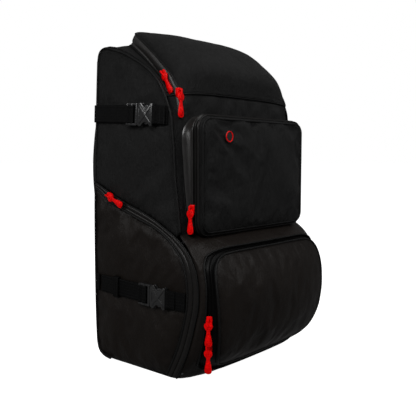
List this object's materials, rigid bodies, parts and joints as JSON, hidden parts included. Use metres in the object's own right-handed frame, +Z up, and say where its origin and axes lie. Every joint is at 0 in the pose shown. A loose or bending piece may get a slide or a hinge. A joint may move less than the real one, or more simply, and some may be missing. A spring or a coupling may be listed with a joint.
{
  "type": "drone carrying backpack",
  "caption": "Padded backpack-style carrying case for a drone, with a hood-shaped zip lid, front and side zip pockets, side compression straps and a back harness.",
  "frame": {"origin": "on the base plane the bag stands on, midway between its sides, close to the middle of its depth", "axes": "+X to the right seen from the front, +Y towards the wearer's back, +Z up"},
  "size_m": [0.351, 0.3414, 0.578],
  "materials": {
    "woven_black": "woven nylon, matte",
    "coated_brown": "smooth coated fabric, soft sheen",
    "zip_black": "coated water-resistant zip tape, satin",
    "webbing_black": "ribbed webbing, matte",
    "mesh_black": "spacer mesh over foam",
    "lining_grey": "brushed lining over foam",
    "buckle_black": "moulded acetal, satin",
    "pull_red": "red enamel",
    "base_black": "moulded foot, coated"
  },
  "bodies": {
    "pack": {"back_pads": "mesh_black", "back_panel": "woven_black", "base_tray": "base_black", "crown_panel": "woven_black", "divider_shelf": "lining_grey", "front_panel": "woven_black", "front_upper_strap": "webbing_black", "hood_zip_tape": "zip_black", "ladder_locks": "buckle_black", "lower_frame": "coated_brown", "lower_strap_anchors": "webbing_black", "lower_zip_tape": "zip_black", "padded_dividers": "lining_grey", "rear_upper_strap": "webbing_black", "shoulder_strap_left": "mesh_black", "shoulder_strap_right": "mesh_black", "side_pocket_tray_left": "lining_grey", "side_pocket_tray_right": "lining_grey", "side_zip_band_left": "zip_black", "side_zip_band_right": "zip_black", "sternum_socket": "buckle_black", "sternum_straps": "webbing_black", "strap_tails": "webbing_black", "toe_panel": "coated_brown", "upper_buckle_sockets": "buckle_black", "upper_gusset": "zip_black", "upper_side_left": "woven_black", "upper_side_right": "woven_black", "upper_zip_tape": "zip_black"},
    "top_lid": {"lid_panel": "woven_black", "lid_skirt": "zip_black"},
    "upper_pocket_flap": {"upper_flap_panel": "woven_black", "upper_flap_skirt": "zip_black"},
    "lower_pocket_flap": {"lower_flap_panel": "coated_brown"},
    "side_flap_left_body": {"side_flap_left": "coated_brown", "lower_strap_left": "webbing_black", "lower_buckle_socket_left": "buckle_black"},
    "side_flap_right_body": {"side_flap_right": "coated_brown", "lower_strap_right": "webbing_black", "lower_buckle_socket_right": "buckle_black"},
    "upper_plug_left": {"upper_buckle_plug_left": "buckle_black"},
    "upper_plug_right": {"upper_buckle_plug_right": "buckle_black"},
    "lower_plug_left": {"lower_buckle_plug_left": "buckle_black"},
    "lower_plug_right": {"lower_buckle_plug_right": "buckle_black"},
    "sternum_plug_body": {"sternum_plug": "buckle_black"},
    "carry_handle": {"grab_handle": "webbing_black"},
    "zip_hood_top": {"slider_hood_top": "pull_red"},
    "tab_hood_top": {"pull_hood_top": "pull_red"},
    "zip_hood_front": {"slider_hood_front": "pull_red"},
    "tab_hood_front": {"pull_hood_front": "pull_red"},
    "zip_upper_pocket": {"slider_upper_pocket": "pull_red"},
    "tab_upper_pocket": {"pull_upper_pocket": "pull_red"},
    "zip_lower_upper": {"slider_lower_upper": "pull_red"},
    "tab_lower_upper": {"pull_lower_upper": "pull_red"},
    "zip_lower_foot": {"slider_lower_foot": "pull_red"},
    "tab_lower_foot": {"pull_lower_foot": "pull_red"},
    "zip_side_left": {"slider_side_left": "pull_red"},
    "tab_side_left": {"pull_side_left": "pull_red"},
    "zip_side_right": {"slider_side_right": "pull_red"},
    "tab_side_right": {"pull_side_right": "pull_red"}
  },
  "joints": [
    {"name": "top_lid_hinge", "type": "hinge", "parent": "pack", "child": "top_lid", "pos_m": [0, -0.071, 0.466], "axis": [1, 0, 0], "range_deg": [0, 110]},
    {"name": "upper_pocket_hinge", "type": "hinge", "parent": "pack", "child": "upper_pocket_flap", "pos_m": [0, -0.117, 0.2395], "axis": [1, 0, 0], "range_deg": [0, 80]},
    {"name": "lower_pocket_hinge", "type": "hinge", "parent": "pack", "child": "lower_pocket_flap", "pos_m": [0, -0.143, 0.028], "axis": [1, 0, 0], "range_deg": [0, 80]},
    {"name": "side_flap_left_hinge", "type": "hinge", "parent": "pack", "child": "side_flap_left_body", "pos_m": [-0.1645, 0.106, 0.15], "axis": [0, 0, -1], "range_deg": [0, 50]},
    {"name": "side_flap_right_hinge", "type": "hinge", "parent": "pack", "child": "side_flap_right_body", "pos_m": [0.1645, 0.106, 0.15], "axis": [0, 0, 1], "range_deg": [0, 50]},
    {"name": "upper_plug_left_slide", "type": "slide", "parent": "pack", "child": "upper_plug_left", "axis": [0, 0.9983, 0.0579], "range_m": [0, 0.032]},
    {"name": "upper_plug_right_slide", "type": "slide", "parent": "pack", "child": "upper_plug_right", "axis": [0, 0.9983, 0.0579], "range_m": [0, 0.032]},
    {"name": "lower_plug_left_slide", "type": "slide", "parent": "side_flap_left_body", "child": "lower_plug_left", "axis": [0, 0.9997, 0.026], "range_m": [0, 0.032]},
    {"name": "lower_plug_right_slide", "type": "slide", "parent": "side_flap_right_body", "child": "lower_plug_right", "axis": [0, 0.9997, 0.026], "range_m": [0, 0.032]},
    {"name": "sternum_plug_slide", "type": "slide", "parent": "pack", "child": "sternum_plug_body", "axis": [1, 0, 0], "range_m": [0, 0.025]},
    {"name": "grab_handle_hinge", "type": "hinge", "parent": "pack", "child": "carry_handle", "pos_m": [0, 0.117, 0.524], "axis": [1, 0, 0], "range_deg": [0, 90]},
    {"name": "hood_top_zip_slide", "type": "slide", "parent": "pack", "child": "zip_hood_top", "axis": [0.1194, 0.7619, 0.6366], "range_m": [0, 0.045]},
    {"name": "hood_top_pull_hinge", "type": "hinge", "parent": "zip_hood_top", "child": "tab_hood_top", "pos_m": [-0.15079, -0.0415, 0.49508], "axis": [0.0637, 0.6369, -0.7683], "range_deg": [0, 100]},
    {"name": "hood_front_zip_slide", "type": "slide", "parent": "pack", "child": "zip_hood_front", "axis": [0, 0, 1], "range_m": [-0.012, 0]},
    {"name": "hood_front_pull_hinge", "type": "hinge", "parent": "zip_hood_front", "child": "tab_hood_front", "pos_m": [-0.1515, -0.0794, 0.461], "axis": [-1, 0, 0], "range_deg": [0, 100]},
    {"name": "upper_pocket_zip_slide", "type": "slide", "parent": "pack", "child": "zip_upper_pocket", "axis": [0, 0, 1], "range_m": [0, 0.11]},
    {"name": "upper_pocket_pull_hinge", "type": "hinge", "parent": "zip_upper_pocket", "child": "tab_upper_pocket", "pos_m": [-0.1544, -0.101, 0.278], "axis": [0, 1, 0], "range_deg": [0, 100]},
    {"name": "lower_upper_zip_slide", "type": "slide", "parent": "pack", "child": "zip_lower_upper", "axis": [0, 0, 1], "range_m": [0, 0.05]},
    {"name": "lower_upper_pull_hinge", "type": "hinge", "parent": "zip_lower_upper", "child": "tab_lower_upper", "pos_m": [-0.16315, -0.14598, 0.109], "axis": [-0.4472, 0.8944, 0], "range_deg": [0, 100]},
    {"name": "lower_foot_zip_slide", "type": "slide", "parent": "pack", "child": "zip_lower_foot", "axis": [0, 0, 1], "range_m": [-0.008, 0]},
    {"name": "lower_foot_pull_hinge", "type": "hinge", "parent": "zip_lower_foot", "child": "tab_lower_foot", "pos_m": [-0.15615, -0.13958, 0.063], "axis": [-0.4472, 0.8944, 0], "range_deg": [0, 100]},
    {"name": "side_left_zip_slide", "type": "slide", "parent": "pack", "child": "zip_side_left", "axis": [0, -0.925, -0.38], "range_m": [0, 0.09]},
    {"name": "side_left_pull_hinge", "type": "hinge", "parent": "zip_side_left", "child": "tab_side_left", "pos_m": [-0.1725, 0.07124, 0.29483], "axis": [0, 0.3903, -0.9207], "range_deg": [0, 100]},
    {"name": "side_right_zip_slide", "type": "slide", "parent": "pack", "child": "zip_side_right", "axis": [0, -0.925, -0.38], "range_m": [0, 0.09]},
    {"name": "side_right_pull_hinge", "type": "hinge", "parent": "zip_side_right", "child": "tab_side_right", "pos_m": [0.1725, 0.07124, 0.29483], "axis": [0, -0.3903, 0.9207], "range_deg": [0, 100]}
  ]
}
